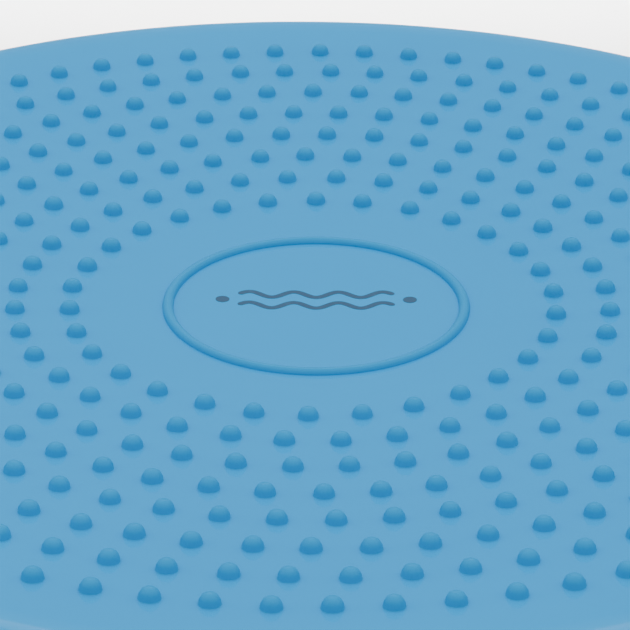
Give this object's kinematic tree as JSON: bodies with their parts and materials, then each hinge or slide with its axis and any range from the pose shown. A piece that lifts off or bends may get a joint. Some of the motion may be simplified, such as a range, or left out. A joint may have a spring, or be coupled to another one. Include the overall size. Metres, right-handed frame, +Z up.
{
  "type": "wobble cushion",
  "caption": "Round air-filled wobble cushion with a nubbed, slightly dished top, a welded middle seam and a needle valve in its flank.",
  "frame": {"origin": "on the floor, under the middle of the cushion", "axes": "+Z up out of the nubbed top, +X out through the valve's side, +Y away from the viewer of the reference view"},
  "size_m": [0.3294, 0.3292, 0.055],
  "materials": {
    "skin": "satin moulded soft PVC, light blue",
    "seam": "welded PVC, slightly glossier than the skin",
    "valve_body": "satin, darker blue",
    "valve_rubber": "matt dark grey",
    "plug": "satin, dark blue"
  },
  "bodies": {
    "base": {"lower_skin": "skin", "valve_housing": "valve_body", "valve_core": "valve_rubber"},
    "seam": {"weld_seam": "seam"},
    "top": {"upper_skin": "skin"},
    "plug": {"valve_plug": "plug"}
  },
  "joints": [
    {"name": "rock_fore_aft", "type": "hinge", "parent": "base", "child": "seam", "pos_m": [0, 0, 0.027], "axis": [1, 0, 0], "range_deg": [-6, 6], "stiffness_Nm_per_rad": 80, "deforming": ["lower_skin"]},
    {"name": "rock_side_to_side", "type": "hinge", "parent": "seam", "child": "top", "pos_m": [0, 0, 0.027], "axis": [0, 1, 0], "range_deg": [-6, 6], "stiffness_Nm_per_rad": 80, "deforming": ["upper_skin"]},
    {"name": "plug_pull", "type": "slide", "parent": "base", "child": "plug", "axis": [0.958, 0, -0.2868], "range_m": [0, 0.01]}
  ]
}
